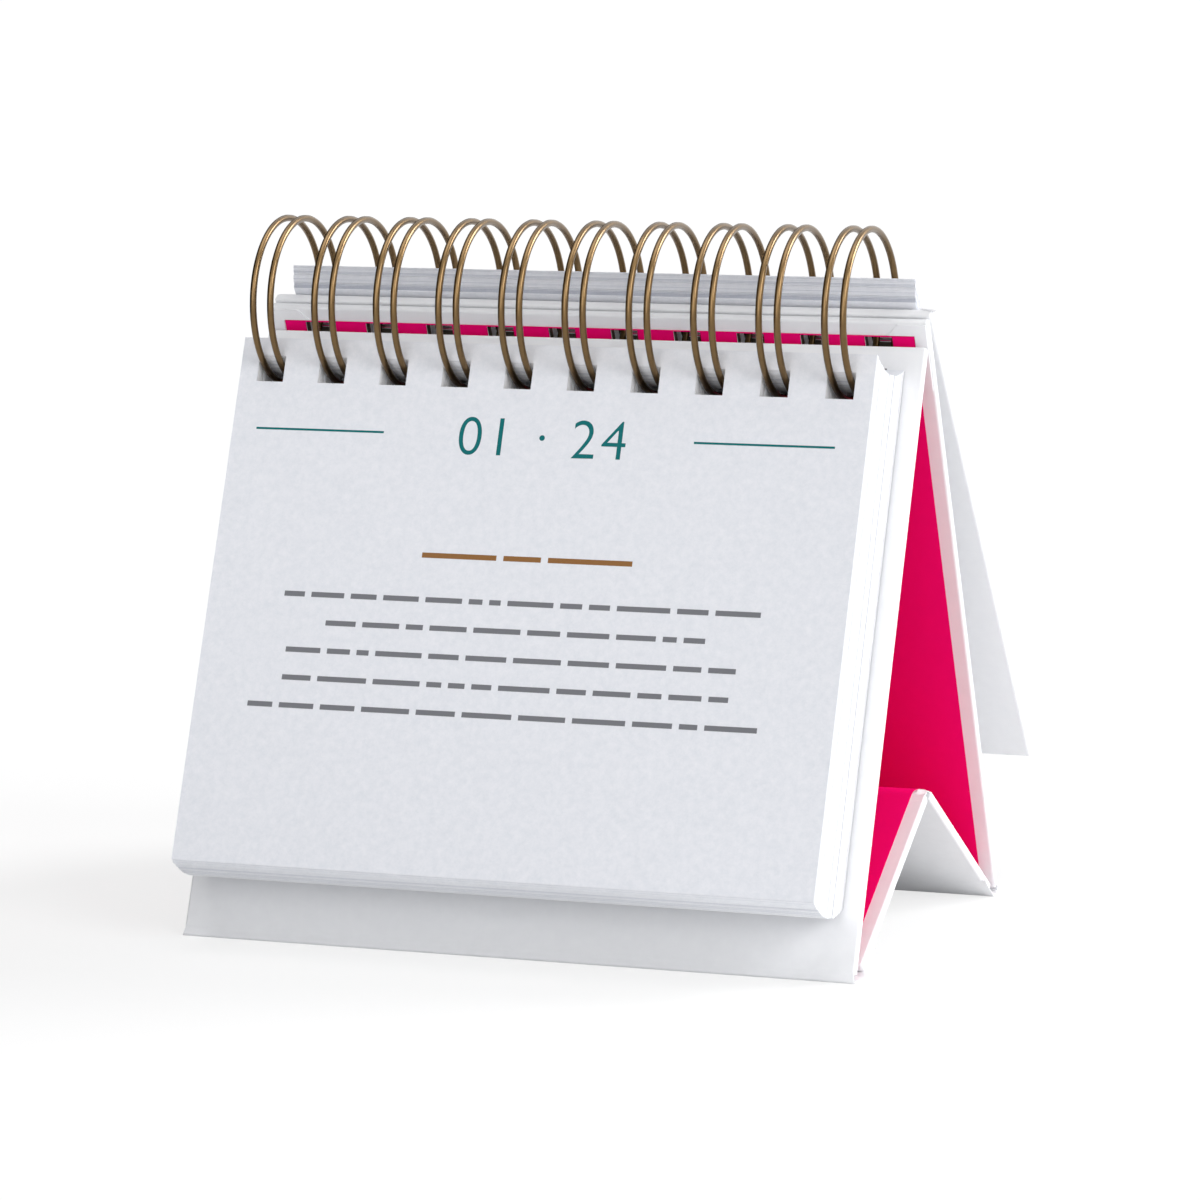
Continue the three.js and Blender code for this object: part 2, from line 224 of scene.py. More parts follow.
def row_of(cutter):
    """A cutter repeated at every loop, as one piece."""
    copies = []
    for k in range(LOOPS):
        copy = cutter.copy()
        copy.data = cutter.data.copy()
        bpy.context.scene.collection.objects.link(copy)
        copy.data.transform(Matrix.Translation(((k - (LOOPS - 1) / 2) * PITCH, 0, 0)))
        copies.append(copy)
    bpy.data.objects.remove(cutter)
    return join(copies, "cutters")


def punch(piece, cutter):
    """Cuts the cutter's shape out of the piece."""
    modify(piece, "BOOLEAN", operation="DIFFERENCE", object=cutter, solver="EXACT")
    bpy.data.objects.remove(cutter)


def set_up(piece, pivot, tilt, look):
    """Leans a finished piece about its pivot, keeps its place in its mesh, and gives it its material."""
    piece.data.transform(Matrix.Translation(pivot) @ Matrix.Rotation(tilt, 4, "X"))
    piece.data.materials.clear()
    piece.data.materials.append(look)
    only(piece)
    bpy.ops.object.shade_smooth_by_angle(angle=SMOOTH_ANGLE)
    modify(piece, "WEIGHTED_NORMAL", keep_sharp=True)


def wrapped(name, low, high, inward):
    """Case paper round one board: a rounded shell, closed at its ends, with its edges turned in."""
    piece = box(name, low, high)
    only(piece)
    bpy.ops.object.mode_set(mode="EDIT")
    bpy.ops.mesh.select_all(action="SELECT")
    bpy.ops.mesh.bevel(offset=EDGE_ROUND, segments=4, affect="EDGES")
    pick(piece, "FACE", lambda f: f.normal.y * inward > 0.999)
    bpy.ops.mesh.inset(thickness=TURN_IN - EDGE_ROUND)
    bpy.ops.mesh.delete(type="FACE")
    bpy.ops.object.mode_set(mode="OBJECT")
    modify(piece, "SOLIDIFY", thickness=CASE_PAPER, offset=-1, use_even_offset=True)
    return piece


def slot_of(node_name, pivot, tilt):
    """The cutter for one slot, as high as the slot in the CAD node and right through the board."""
    low, high = span([p for p in flat_corners(node_name, pivot, tilt) if abs(p.x) < PITCH])
    return box("slot", Vector((-HOLE_WIDTH / 2, low.y - CUT_PAST, low.z)),
               Vector((HOLE_WIDTH / 2, high.y + CUT_PAST, high.z)))


def corner_flaps(low, high, face):
    """The two mitred flaps at a board's head, where the side turn-in is laid over the head turn-in."""
    flaps = []
    for hand in (-1, 1):
        side = high.x * hand
        for corners in (HEAD_FLAP, SIDE_FLAP):
            bpy.ops.object.select_all(action="DESELECT")
            bpy.ops.mesh.primitive_plane_add(size=1, rotation=(math.radians(90), 0, 0))
            flap = bpy.context.active_object
            bpy.ops.object.transform_apply(location=True, rotation=True, scale=True)
            rank = sorted(flap.data.vertices, key=lambda v: (-v.co.z, v.co.x))
            for v, (in_from_side, below_head) in zip((rank[0], rank[1], rank[3], rank[2]), corners):
                v.co = Vector((side - hand * in_from_side / 1000, face, high.z - below_head / 1000))
            flaps.append(flap)
    made = join(flaps, "corner_flaps")
    modify(made, "SOLIDIFY", thickness=FLAP, offset=0.0)
    return made


# Each sheet with its board, pivot and tilt, its way in, whether its low and its high end are capped, and
# its body
cases = (
    ("front_case_paper", "front_board", RING, FRONT_TILT, 1, 1, 0, "front_stand"),
    ("rear_case_paper", "rear_board", RING, REAR_TILT, -1, 1, 0, "rear_stand"),
    ("cover_case_paper", "front_cover", RING, COVER_TILT, 1, 0, 0, "front_cover"),
    ("gusset_front_paper", "gusset_front", FRONT_GUTTER, -GUSSET_TILT, -1, 1, 1, "gusset_front"),
    ("gusset_rear_paper", "gusset_rear", REAR_GUTTER, GUSSET_TILT, 1, 1, 1, "gusset_rear"),
)
board_span = {}
for name, board, pivot, tilt, inward, caps_low, caps_high, body in cases:
    low, high = span(flat_corners(board + "_wrap", pivot, tilt))
    low.z -= END_CAP * caps_low
    high.z += END_CAP * caps_high
    board_span[board] = (low, high)
    sheet = wrapped(name, low, high, inward)
    if board in ("front_board", "rear_board", "front_cover"):
        punch(sheet, row_of(slot_of(board + "_greyboard", pivot, tilt)))
        sheet = join([sheet, corner_flaps(low, high, high.y if inward > 0 else low.y)], name)
    set_up(sheet, pivot, tilt, coated_paper)
    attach(sheet, body)
    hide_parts(board + "_wrap")

# Pinched corner of the cover
# At the cover's head the corner of the paper was gathered before it was turned in, and a small stiff ear
# of it stands proud. It is the same paper, stiff with glue.
EAR_START = 0.0024
EAR_LENGTH = 0.0032
EAR_HEIGHT = 0.0012
EAR_LIFT = 0.0005
EAR_WAVE = 0.0002
EAR_TURN = 2.6
EAR_PAPER = 0.0002
EAR_NARROWING = 0.75
EAR_SLANT = 0.3
low, high = board_span["front_cover"]
bpy.ops.object.select_all(action="DESELECT")
bpy.ops.mesh.primitive_grid_add(
    x_subdivisions=4, y_subdivisions=2, size=1, rotation=(math.radians(90), 0, 0))
ear = bpy.context.active_object
ear.name = "cover_corner_pinch"
bpy.ops.object.transform_apply(location=True, rotation=True, scale=True)
for v in ear.data.vertices:
    out = v.co.x + 0.5
    down = 0.5 - v.co.z
    narrow = 1 - EAR_NARROWING * down
    v.co = Vector((
        high.x - EAR_START + EAR_LENGTH * (out * narrow + EAR_SLANT * down),
        high.y - EAR_PAPER / 2 - EAR_LIFT * out * (1 - down),
        high.z + EAR_PAPER / 2 + EAR_WAVE * math.sin(EAR_TURN * out) - EAR_HEIGHT * down))
modify(ear, "SOLIDIFY", thickness=EAR_PAPER, offset=0.0)
set_up(ear, RING, COVER_TILT, coated_paper)
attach(ear, "front_cover")

# Foot folds
# The case paper runs on past the end of each big board, folds under it and climbs the gusset's underside,
# and the calendar stands on these two folds. The front one spreads a little at its sides, where the
# turned-in paper doubles it.
FOOT_PAPER = 0.00026
FOOT_ROUND = 0.00045
FOOT_CLIMB = 0.0034
FOOT_FEATHER = 0.004
FOOT_SPREAD = 0.00045
FOOT_INSET = 0.0001
FOOT_NARROWING = 0.0008
FOOT_EDGE = 0.00012
FOOT_KNEE = 0.0006
FOOT_CLEAR = 0.00003
HEEL_STEPS = 8
KNEE_STEPS = 4
SPREAD_FROM = 0.05
NARROW_AFTER = 0.0004
NARROW_OVER = 0.0016
# The soft groove where the paper leaves the board's end, as its depth and its distance down the board
GROOVE = ((0, 0), (0, 0.00015), (0.00005, 0.00035), (0.00009, 0.0006), (0.00005, 0.0009), (0, 0.0012))
STRIP_CUTS = 60


def strip(name, half, path, thickness, outward, cuts=STRIP_CUTS):
    """Paper across the case, extruded edge by edge along a path of (Y, Z) points on its outer face."""
    (y0, z0), (y1, z1) = path[:2]
    bpy.ops.object.select_all(action="DESELECT")
    bpy.ops.mesh.primitive_grid_add(
        x_subdivisions=cuts, y_subdivisions=1, size=1,
        location=(0, (y0 + y1) / 2, (z0 + z1) / 2), rotation=(math.atan2(z1 - z0, y1 - y0), 0, 0))
    piece = bpy.context.active_object
    piece.name = name
    piece.scale = (2 * half, math.hypot(y1 - y0, z1 - z0), 1)
    bpy.ops.object.transform_apply(location=True, rotation=True, scale=True)
    bpy.ops.object.mode_set(mode="EDIT")
    pick(piece, "EDGE", lambda e: e.is_boundary and all(
        math.hypot(v.co.y - y1, v.co.z - z1) < 1e-6 for v in e.verts))
    for (ya, za), (yb, zb) in zip(path[1:], path[2:]):
        bpy.ops.mesh.extrude_edges_move(TRANSFORM_OT_translate={"value": (0, yb - ya, zb - za)})
    bpy.ops.mesh.select_all(action="SELECT")
    bpy.ops.mesh.normals_make_consistent(inside=False)
    cage = bmesh.from_edit_mesh(piece.data)
    cage.faces.ensure_lookup_table()
    if cage.faces[0].normal.dot(outward) < 0:
        bpy.ops.mesh.flip_normals()
    bpy.ops.object.mode_set(mode="OBJECT")
    modify(piece, "SOLIDIFY", thickness=thickness, offset=-1, use_even_offset=True)
    return piece


def leaned(pivot, tilt, y, z):
    """A point of a leaning board's own frame, as its (Y, Z) in the room."""
    point = pivot + Matrix.Rotation(tilt, 3, "X") @ Vector((0, y, z))
    return point.y, point.z


for name, board, tilt, inward, body, gusset, gutter, spread in (
    ("front_foot_paper", "front_board", FRONT_TILT, 1, "front_stand", "gusset_front", FRONT_GUTTER,
     FOOT_SPREAD),
    ("rear_foot_paper", "rear_board", REAR_TILT, -1, "rear_stand", "gusset_rear", REAR_GUTTER, 0.0),
):
    low, high = board_span[board]
    outer = low.y if inward > 0 else high.y
    lean = abs(tilt)
    start = low.z + EDGE_ROUND
    path = [leaned(RING, tilt, outer + inward * dip, start - down) for dip, down in GROOVE]
    turned = math.pi / 2 + lean
    heel = FOOT_ROUND * (1 + math.sin(lean))
    y, z = path[-1]
    y -= inward * (z - heel) * math.tan(lean)
    hub = Vector((y + inward * FOOT_ROUND * math.cos(lean), FOOT_ROUND))
    path.append((y, heel))
    for k in range(1, HEEL_STEPS + 1):
        angle = lean - turned * k / HEEL_STEPS
        path.append((hub.x - inward * FOOT_ROUND * math.cos(angle), hub.y + FOOT_ROUND * math.sin(angle)))
    underside = max(abs(board_span[gusset][0].y), abs(board_span[gusset][1].y))
    under = underside + FOOT_PAPER + FOOT_CLEAR
    top_of_climb = leaned(gutter, -inward * GUSSET_TILT, inward * under, FOOT_CLIMB)
    knee = top_of_climb[0] - inward * top_of_climb[1] * math.tan(GUSSET_TILT)
    path += [(path[-1][0] + (knee - path[-1][0]) * share, 0) for share in (0.3, 0.6)]
    for k in range(KNEE_STEPS + 1):
        t = k / KNEE_STEPS
        path.append((knee + inward * FOOT_KNEE * (t * t * math.sin(GUSSET_TILT) - (1 - t) ** 2),
                     FOOT_KNEE * t * t * math.cos(GUSSET_TILT)))
    path.append(top_of_climb)
    path.append(leaned(gutter, -inward * GUSSET_TILT, inward * (underside - 2 * FOOT_CLEAR),
                       FOOT_CLIMB + FOOT_FEATHER))
    fold = strip(name, high.x - FOOT_INSET, path, FOOT_PAPER, Vector((0, -inward, 0)))
    top = path[0][1]
    for v in fold.data.vertices:
        reach = min(max((top - v.co.z) / top, 0), 1)
        side = max(abs(v.co.x) - SPREAD_FROM, 0) / (high.x - SPREAD_FROM)
        behind = max(inward * (v.co.y - path[0][0]) - NARROW_AFTER, 0) / NARROW_OVER
        v.co.x += math.copysign((spread * reach ** 2 - FOOT_NARROWING * min(behind, 1)) * side ** 2, v.co.x)
    modify(fold, "BEVEL", width=FOOT_EDGE, segments=2, limit_method="ANGLE", angle_limit=math.radians(60))
    set_up(fold, ORIGIN, 0.0, coated_paper)
    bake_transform(fold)
    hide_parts(board.replace("board", "foot_fold"))

# Pink liners
# A dyed text paper is glued over the turned-in edges inside each board. The front gusset's liner runs on
# over the peak, where the case paper under it bridges the two boards and is creased at its sides.
PINK_HEX = "#f20c73"
PINK_SHADE_HEX = "#ea086d"
PEAK_LINER = 0.00016
PEAK_PAPER = 0.00014
PEAK_FLAT = 0.02787
PEAK_BEND = 0.0016
PEAK_LEAD = 0.0006
PEAK_STEPS = 6
PEAK_FILM = 0.00001
PEAK_CUTS = 240
LINER_DROOP = 0.00018
PAPER_DROOP = 0.00045
PAPER_OVERLAP = 0.0022
PAPER_INSET = 0.0003
PAPER_SHORT = 0.0002
PAPER_LIFT = 0.00004
# The crumple at the peak's sides: how deep it is, and where it starts under the liner and above the glue
CREASE = 0.0009
CREASE_LIFT = 0.00015
CREASE_UNDER = 0.0003
CREASE_SIDE = 0.0012
CREASE_RISE = 0.0006
GLUE_EDGE = 0.0002

# Uncoated paper dyed through: saturated and quite matt, with the faint cloud of its fibres
dyed_paper, tree = new_material("dyed_pink_liner_paper")
place = add(tree, "ShaderNodeTexCoord")
cloud = add(tree, "ShaderNodeTexNoise", {
    "Vector": place.outputs["Object"], "Scale": 1 / PAPER_FORMATION, "Detail": 5.0, "Roughness": 0.7})
tone = add(tree, "ShaderNodeMix", {
    0: cloud.outputs["Fac"], 6: linear(PINK_SHADE_HEX), 7: linear(PINK_HEX)}, data_type="RGBA")
grain = add(tree, "ShaderNodeTexNoise", {
    "Vector": place.outputs["Object"], "Scale": 2200.0, "Detail": 3.0, "Roughness": 0.6})
tooth = add(tree, "ShaderNodeBump", {
    "Strength": 0.2, "Distance": 0.00005, "Height": grain.outputs["Fac"]})
skin = add(tree, "ShaderNodeBsdfPrincipled", {
    "Base Color": tone.outputs[2], "Roughness": 0.85, "Normal": tooth.outputs["Normal"]})
skin.inputs["Specular IOR Level"].default_value = 0.01
add(tree, "ShaderNodeOutputMaterial", {"Surface": skin.outputs["BSDF"]})

for board in ("front_board", "rear_board", "gusset_rear", "front_cover"):
    dress(board + "_liner", dyed_paper)


def over_peak(lift, start, flat, end):
    """The path of a sheet up the front gusset board, round over the peak's flat top, to the rear board."""
    foot = leaned(FRONT_GUTTER, -GUSSET_TILT, lift, start)
    slope = Vector((math.sin(GUSSET_TILT), math.cos(GUSSET_TILT)))
    knee = Vector(foot) + slope * ((flat - foot[1]) / slope.y)
    path = [foot, tuple(knee - slope * (PEAK_BEND + PEAK_LEAD))]
    for k in range(PEAK_STEPS + 1):
        t = k / PEAK_STEPS
        path.append(tuple((1 - t) ** 2 * (knee - slope * PEAK_BEND) + 2 * t * (1 - t) * knee
                          + t ** 2 * (knee + Vector((PEAK_BEND, 0)))))
    crown = path[-1]
    for t in (0.35, 0.6, 0.8, 1.0):
        path.append((crown[0] + (end[0] - crown[0]) * t, crown[1] + (end[1] - crown[1]) * t ** 4))
    return path


liner_low, liner_high = span(flat_corners("gusset_front_liner", FRONT_GUTTER, -GUSSET_TILT))
peak_end = max(v.co.y for v in frame["nodes"]["peak_fold"].data.vertices)
gusset_liner = strip(
    "gusset_front_pink_liner", liner_high.x,
    over_peak(liner_low.y, liner_low.z, PEAK_FLAT, (peak_end, PEAK_FLAT - LINER_DROOP)), PEAK_LINER,
    Vector((0, 0, 1)))
set_up(gusset_liner, ORIGIN, 0.0, dyed_paper)
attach(gusset_liner, "gusset_front")
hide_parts("gusset_front_liner", "peak_fold")

low, high = board_span["gusset_front"]
under = PEAK_FLAT - PEAK_LINER - PEAK_FILM
peak_paper = strip(
    "peak_case_paper", high.x - PAPER_INSET,
    over_peak(low.y - PAPER_LIFT, high.z - PAPER_OVERLAP, under,
              (peak_end - PAPER_SHORT, under - PAPER_DROOP)),
    PEAK_PAPER, Vector((0, 0, 1)), PEAK_CUTS)
glued_up_to = leaned(FRONT_GUTTER, -GUSSET_TILT, low.y, high.z - PAPER_OVERLAP)[1] + GLUE_EDGE
for v in peak_paper.data.vertices:
    free = min(max((abs(v.co.x) - liner_high.x + CREASE_UNDER) / CREASE_SIDE, 0), 1)
    free *= min(max((v.co.z - glued_up_to) / CREASE_RISE, 0), 1)
    ripple = noise.noise(Vector((v.co.x * 700, v.co.y * 900, v.co.z * 300)))
    v.co.z += free * (CREASE * ripple + CREASE_LIFT)
    v.co.y += free * CREASE * noise.noise(Vector((v.co.x * 400 + 9, v.co.y * 600, v.co.z * 600)))
set_up(peak_paper, ORIGIN, 0.0, coated_paper)
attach(peak_paper, "gusset_front")

# Twin-loop wire
# One steel wire, bronze coated, bent flat into a comb of hairpins and rolled round the leaves and boards,
# with its seam tucked between the two boards' heads.
WIRE = 0.0013
LOOP_WIDTH = 0.00357
WIRE_BEND = 0.0011
SEAM_ANGLE = math.radians(43.8)
SEAM_GAP = 0.00055
BEND_STEPS = 8
TIP_STEPS = 14
STRAND_STEPS = 90
BRONZE_HEX = "#765c33"
BRONZE_DULL_HEX = "#5f4726"

# Bronze lacquer on drawn steel: warm metal under a clear coat, a little uneven where the coat is thicker
bronze, tree = new_material("bronze_lacquered_steel_wire")
place = add(tree, "ShaderNodeTexCoord")
coat = add(tree, "ShaderNodeTexNoise", {
    "Vector": place.outputs["Object"], "Scale": 700.0, "Detail": 3.0, "Roughness": 0.6})
tone = add(tree, "ShaderNodeMix", {
    0: coat.outputs["Fac"], 6: linear(BRONZE_DULL_HEX), 7: linear(BRONZE_HEX)}, data_type="RGBA")
gloss = add(tree, "ShaderNodeMapRange", {
    "Value": coat.outputs["Fac"], "To Min": 0.24, "To Max": 0.36})
skin = add(tree, "ShaderNodeBsdfPrincipled", {
    "Base Color": tone.outputs[2], "Roughness": gloss.outputs["Result"]})
skin.inputs["Metallic"].default_value = 1.0
skin.inputs["Coat Weight"].default_value = 0.6
skin.inputs["Coat Roughness"].default_value = 0.22
add(tree, "ShaderNodeOutputMaterial", {"Surface": skin.outputs["BSDF"]})

axis_points = [v.co for v in frame["nodes"]["twin_loop_wire"].data.vertices]
ring_radius = sum(math.hypot(p.y - RING.y, p.z - RING.z) for p in axis_points) / len(axis_points)


def wire_points():
    """The wire's centreline laid out flat, as (across, along) pairs: seam bars and a hairpin a loop."""
    half = LOOP_WIDTH / 2
    turn = ring_radius * (2 * math.pi - (WIRE + SEAM_GAP) / ring_radius)
    top = turn - half
    points = []

    def arc(x, s, radius, start, end, steps):
        for k in range(1, steps + 1):
            angle = start + (end - start) * k / steps
            points.append((x + radius * math.cos(angle), s + radius * math.sin(angle)))

    def strand(x, start, end):
        for k in range(1, STRAND_STEPS):
            points.append((x, start + (end - start) * k / STRAND_STEPS))

    first = -(LOOPS - 1) / 2 * PITCH
    points.append((first - half - WIRE_BEND - WIRE, 0))
    for k in range(LOOPS):
        x = first + k * PITCH
        points.append((x - half - WIRE_BEND, 0))
        arc(x - half - WIRE_BEND, WIRE_BEND, WIRE_BEND, -math.pi / 2, 0, BEND_STEPS)
        strand(x - half, WIRE_BEND, top)
        points.append((x - half, top))
        arc(x, top, half, math.pi, 0, TIP_STEPS)
        strand(x + half, top, WIRE_BEND)
        points.append((x + half, WIRE_BEND))
        arc(x + half + WIRE_BEND, WIRE_BEND, WIRE_BEND, math.pi, 1.5 * math.pi, BEND_STEPS)
    points.append((-first + half + WIRE_BEND + WIRE, 0))
    return points


wire_curve = bpy.data.curves.new("bound_wire", "CURVE")
wire_curve.dimensions = "3D"
wire_curve.bevel_depth = WIRE / 2
wire_curve.bevel_resolution = 4
wire_curve.use_fill_caps = True
laid = wire_points()
line = wire_curve.splines.new("POLY")
line.points.add(len(laid) - 1)
for point, (x, s) in zip(line.points, laid):
    angle = -SEAM_ANGLE - s / ring_radius
    point.co = (x, RING.y + ring_radius * math.cos(angle), RING.z + ring_radius * math.sin(angle), 1)
bound_wire = bpy.data.objects.new("bound_wire", wire_curve)
bpy.context.scene.collection.objects.link(bound_wire)
only(bound_wire)
bpy.ops.object.convert(target="MESH")
bound_wire = bpy.context.active_object
set_up(bound_wire, ORIGIN, 0.0, bronze)
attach(bound_wire, "rear_stand")
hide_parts("twin_loop_wire")

# Leaves
# Uncoated offset paper, one day a leaf, punched and hung on the wire: each leaf hangs at the height that
# the ring's arc gives it, so the heads of the block follow a curve.
LEAF = 0.000114
LEAF_STEP = 0.000118
PAGE_MARGIN = 0.0035
HOLE_HEIGHT = 0.0051
HANG = 0.0006
CLUMP_GAP = 0.00004
# How many leaves cling together, and how far a clump and a single leaf slip across and up
CLUMP_COUNT = (5, 8)
CLUMP_SLIP = (0.00012, 0.00008)
LEAF_SLIP = (0.00002, 0.000015)
PAD_SAG = 0.85
FIRST_LEAF_FORWARD = 0.00024
PAGE_HEX = "#ebecf1"
PAGE_SHADE_HEX = "#dfe2e8"
# How far the painted shade lines on the cut edges wander, and the share of their half-width that is fully dark
SHADE_LINE_DRIFT = 0.12
SHADE_LINE_CORE = 0.4

# Uncoated offset paper: cool white, matt, softly mottled by its formation, with a fine felt tooth
offset_paper, tree = new_material("uncoated_offset_paper")
place = add(tree, "ShaderNodeTexCoord")
cloud = add(tree, "ShaderNodeTexNoise", {
    "Vector": place.outputs["Object"], "Scale": 700.0, "Detail": 5.0, "Roughness": 0.75})
mottle = add(tree, "ShaderNodeMapRange", {"Value": cloud.outputs["Fac"], "From Min": 0.3, "From Max": 0.7})
tone = add(tree, "ShaderNodeMix", {
    0: mottle.outputs["Result"], 6: linear(PAGE_SHADE_HEX), 7: linear(PAGE_HEX)}, data_type="RGBA")
grain = add(tree, "ShaderNodeTexNoise", {
    "Vector": place.outputs["Object"], "Scale": 2400.0, "Detail": 3.0, "Roughness": 0.6})
tooth = add(tree, "ShaderNodeBump", {
    "Strength": 0.25, "Distance": 0.00005, "Height": grain.outputs["Fac"]})
skin = add(tree, "ShaderNodeBsdfPrincipled", {
    "Base Color": tone.outputs[2], "Roughness": 0.92, "Normal": tooth.outputs["Normal"]})
skin.inputs["Specular IOR Level"].default_value = 0.15
add(tree, "ShaderNodeOutputMaterial", {"Surface": skin.outputs["BSDF"]})


def cut_edges_with_painted_shade(name, tilt, edge_hex, painted_shade_hex, clump, spread):
    """The cut edges of a block of leaves, with fine painted shade lines for the shade between its clumps."""
    made, tree = new_material(name)
    place = add(tree, "ShaderNodeTexCoord")
    square = add(tree, "ShaderNodeMapping", {"Vector": place.outputs["Object"], "Rotation": (-tilt, 0, 0)})
    apart = add(tree, "ShaderNodeSeparateXYZ", {"Vector": square.outputs["Vector"]})
    depth = add(tree, "ShaderNodeMath", {0: apart.outputs["Y"], 1: 1 / clump}, operation="MULTIPLY")
    wander = add(tree, "ShaderNodeTexNoise", {"Vector": place.outputs["Object"], "Scale": 40.0, "Detail": 1.0})
    drift = add(tree, "ShaderNodeMath", {0: wander.outputs["Fac"], 1: SHADE_LINE_DRIFT}, operation="MULTIPLY")
    along = add(tree, "ShaderNodeMath", {0: depth.outputs[0], 1: drift.outputs[0]}, operation="ADD")
    waves = add(tree, "ShaderNodeTexNoise", {
        "W": along.outputs[0], "Scale": 1.0, "Detail": 1.0, "Roughness": 0.5}, noise_dimensions="1D")
    centred = add(tree, "ShaderNodeMath", {0: waves.outputs["Fac"], 1: 0.5}, operation="SUBTRACT")
    away = add(tree, "ShaderNodeMath", {0: centred.outputs[0]}, operation="ABSOLUTE")
    # The painted shade line: full where the wave is near its middle, fading out towards the spread
    line = add(tree, "ShaderNodeMapRange", {
        "Value": away.outputs[0], "From Min": spread * SHADE_LINE_CORE, "From Max": spread,
        "To Min": 1.0, "To Max": 0.0})
    tone = add(tree, "ShaderNodeMix", {
        0: line.outputs["Result"], 6: linear(edge_hex), 7: linear(painted_shade_hex)}, data_type="RGBA")
    skin = add(tree, "ShaderNodeBsdfPrincipled", {"Base Color": tone.outputs[2], "Roughness": 0.95})
    skin.inputs["Specular IOR Level"].default_value = 0.1
    add(tree, "ShaderNodeOutputMaterial", {"Surface": skin.outputs["BSDF"]})
    return made


# On both blocks the ends get darker painted shade lines than the sides; on the pad the ends also get a whiter
# base than the sides, as painted light on the shaded band at its foot
block_edges = {
    "pad": (cut_edges_with_painted_shade("pad_cut_ends_painted_light_and_shade", FRONT_TILT, "#fcfdfe", "#c6cad3", 0.0011, 0.035),
            cut_edges_with_painted_shade("pad_cut_sides_painted_shade_lines", FRONT_TILT, "#f2f2f3", "#e4e5e8", 0.0007, 0.04)),
    "turned": (cut_edges_with_painted_shade("turned_leaf_cut_ends_painted_shade_lines", COVER_TILT, "#f4f5f9", "#868ea2", 0.0008, 0.05),
               cut_edges_with_painted_shade("turned_leaf_cut_sides_painted_shade_lines", COVER_TILT, "#eff0f4", "#c3c7d2", 0.0008, 0.05)),
}


def hole_top(depth):
    """How high the top of a leaf's holes hangs, from the ring's centre, at a depth from that centre."""
    centre = -math.sqrt(ring_radius ** 2 - depth ** 2)
    return centre - WIRE / 2 * ring_radius / centre + HANG


page_low, page_high = span(flat_corners("today_leaf", RING, FRONT_TILT))
page_height = page_high.z - page_low.z
half_page = (page_high.x - page_low.x) / 2
front_of_page = page_low.y
leaf_sheet = box("leaf_sheet", Vector((-half_page, 0, PAGE_MARGIN - page_height)),
                 Vector((half_page, LEAF, PAGE_MARGIN)))
punch(leaf_sheet, row_of(box("hole", Vector((-HOLE_WIDTH / 2, -LEAF, -HOLE_HEIGHT)),
                             Vector((HOLE_WIDTH / 2, 2 * LEAF, 0)))))


def hung(depth, sag=1.0):
    """How high a leaf's holes hang, where the block's stiffness takes out a share of the arc's sag."""
    return hole_top(depth) * sag + hole_top(front_of_page) * (1 - sag)


def stack(name, start, end, tilt, seed, ends, sides, sag):
    """A bundle of leaves between two depths from the ring's centre, which cling together in small clumps."""
    hand = random.Random(seed)
    count = max(1, int((end - start - LEAF) / LEAF_STEP) + 1)
    clumps = []
    while len(clumps) < count:
        clumps += [len(set(clumps))] * hand.randint(*CLUMP_COUNT)
    clumps = clumps[:count]
    room = end - start - LEAF - CLUMP_GAP * clumps[-1]
    shifts = [[hand.uniform(-most, most) for most in CLUMP_SLIP] for _ in range(clumps[-1] + 1)]
    sheets = []
    for k, clump in enumerate(clumps):
        depth = start + room * k / max(count - 1, 1) + CLUMP_GAP * clump
        copy = leaf_sheet.copy()
        copy.data = leaf_sheet.data.copy()
        bpy.context.scene.collection.objects.link(copy)
        slide, lift = shifts[clump] if count > 1 else (0, 0)
        slide += hand.gauss(0, LEAF_SLIP[0])
        height = hung(depth, sag) + lift + hand.gauss(0, LEAF_SLIP[1])
        copy.data.transform(Matrix.Translation((slide, depth, height)))
        sheets.append(copy)
    piece = join(sheets, name)
    piece.data.materials.clear()
    for look in (offset_paper, ends, sides):
        piece.data.materials.append(look)
    for face in piece.data.polygons:
        face.material_index = 0 if abs(face.normal.y) > 0.9 else 1 if abs(face.normal.z) > 0.9 else 2
    piece.data.transform(Matrix.Translation(RING) @ Matrix.Rotation(tilt, 4, "X"))
    return piece


leaf_groups = (
    [("today_sheet", "today_leaf", FRONT_TILT, "today_leaf")]
    + [(f"pad_leaves_{k}", f"page_bundle_{k}", FRONT_TILT, "page_pad") for k in range(1, 7)]
    + [(f"turned_leaves_{k}", f"turned_bundle_{k}", COVER_TILT, "turned_pages") for k in range(1, 4)]
)
for seed, (name, node_name, tilt, body) in enumerate(leaf_groups):
    low, high = span(flat_corners(node_name, RING, tilt))
    block, sag = ("turned", 1.0) if body == "turned_pages" else ("pad", PAD_SAG)
    if name == "today_sheet":
        low.y, high.y = low.y, low.y + LEAF
    if name == "pad_leaves_1":
        low.y -= FIRST_LEAF_FORWARD
    leaves = stack(name, low.y, high.y, tilt, seed, *block_edges[block], sag)
    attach(leaves, body)
    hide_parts(node_name)
bpy.data.objects.remove(leaf_sheet)

# Print on the leaf that shows
# Offset ink, laid out as a day page: a rule to each side, a plain day and month, and plain bars
# where the lines of text go. No wording is drawn.
INK_LIFT = 0.00002
TEAL_HEX = "#006a6c"
BROWN_HEX = "#8f6438"
GREY_INK_HEX = "#76777c"
RULE = 0.42
BAR = 1.0
WORD = (2.2, 10.5)
WORD_SPACE = 1.35
SHORTEST_WORD = 2.6
LEAST_ROOM = 1.5
DATE_DOWN = 0.0216
DATE_SIZE = 0.0108
DATE_THINNING = 0.0001
DATE_SPACING = 1.12
